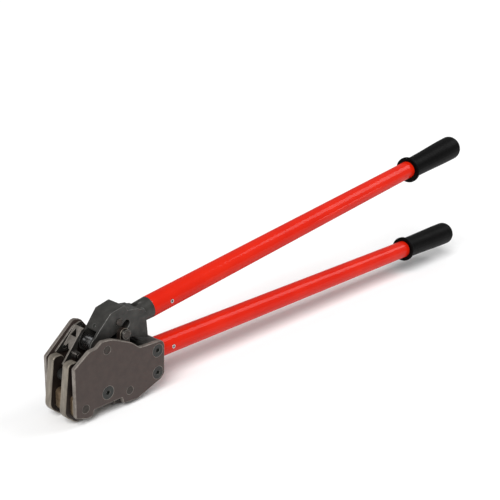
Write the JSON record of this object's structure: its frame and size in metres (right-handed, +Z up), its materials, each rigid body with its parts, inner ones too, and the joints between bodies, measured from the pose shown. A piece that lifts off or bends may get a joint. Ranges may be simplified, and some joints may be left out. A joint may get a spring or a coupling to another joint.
{
  "type": "strapping notch sealer",
  "caption": "Two-handed manual sealer for steel strapping: side plates around dies and hooked notching jaws, driven by a cam-slotted yoke on a long tubular handle.",
  "frame": {"origin": "middle of the centre die anvil face, the flat underside that presses on the seal", "axes": "+X back towards the handle grips, +Y across the head to the guarded side, +Z up, so the anvil faces -Z"},
  "size_m": [0.8343, 0.0579, 0.2134],
  "materials": {
    "browned_plate": "chemically browned ground steel",
    "die_steel": "hardened tool steel with a bronze temper tint",
    "jaw_steel": "hardened jaw steel, lightly browned",
    "black_oxide": "black oxide on an investment casting",
    "bright_steel": "ground bright steel",
    "dark_pin": "oiled dark steel",
    "guard_casting": "bead-blasted casting",
    "red_paint": "gloss powder coat",
    "grip_rubber": "dull moulded rubber"
  },
  "bodies": {
    "frame": {"near_side_plate": "browned_plate", "far_side_plate": "browned_plate", "centre_die": "die_steel", "near_outer_die": "die_steel", "far_outer_die": "die_steel", "die_tie_bar": "dark_pin", "handle_socket_block": "black_oxide", "lower_handle_tube": "red_paint", "lower_grip": "grip_rubber", "lower_roll_pin": "bright_steel", "handle_pivot_pin": "dark_pin", "pivot_bush": "bright_steel", "pivot_sleeves": "dark_pin", "front_jaw_pin": "dark_pin", "rear_jaw_pin": "dark_pin", "countersunk_screws": "black_oxide", "guard_bracket": "guard_casting", "guard_screws": "black_oxide", "spring_stud": "dark_pin", "return_spring": "dark_pin"},
    "handle": {"handle_yoke": "black_oxide", "cheek_rivet": "black_oxide", "yoke_set_screw": "bright_steel", "upper_handle_tube": "red_paint", "upper_grip": "grip_rubber", "upper_roll_pin": "bright_steel"},
    "link": {"front_link": "dark_pin", "link_rear_pin": "dark_pin"},
    "front_jaws": {"near_front_jaw": "jaw_steel", "far_front_jaw": "jaw_steel", "front_cross_pin": "dark_pin"},
    "rear_jaws": {"near_rear_jaw": "jaw_steel", "far_rear_jaw": "jaw_steel", "drive_pin": "bright_steel", "drive_pin_collars": "bright_steel", "drive_pin_snap_rings": "dark_pin"}
  },
  "joints": [
    {"name": "handle_hinge", "type": "hinge", "parent": "frame", "child": "handle", "pos_m": [0, 0, 0.0655], "axis": [0, -1, 0], "range_deg": [0, 22]},
    {"name": "rear_jaws_hinge", "type": "hinge", "parent": "frame", "child": "rear_jaws", "pos_m": [0.0314, 0, 0.0053], "axis": [0, -1, 0], "range_deg": [0, 16.5]},
    {"name": "front_jaws_hinge", "type": "hinge", "parent": "frame", "child": "front_jaws", "pos_m": [-0.0314, 0, 0.0053], "axis": [0, -1, 0], "range_deg": [-16.5, 0]},
    {"name": "front_link_hinge", "type": "hinge", "parent": "handle", "child": "link", "pos_m": [0, 0, 0.041], "axis": [0, -1, 0], "range_deg": [-22, 0]}
  ],
  "couplings": [
    {"joint": "rear_jaws_hinge", "follows": "handle_hinge", "ratio": 0.75},
    {"joint": "front_jaws_hinge", "follows": "handle_hinge", "ratio": -0.75},
    {"joint": "front_link_hinge", "follows": "handle_hinge", "ratio": -0.9199}
  ]
}
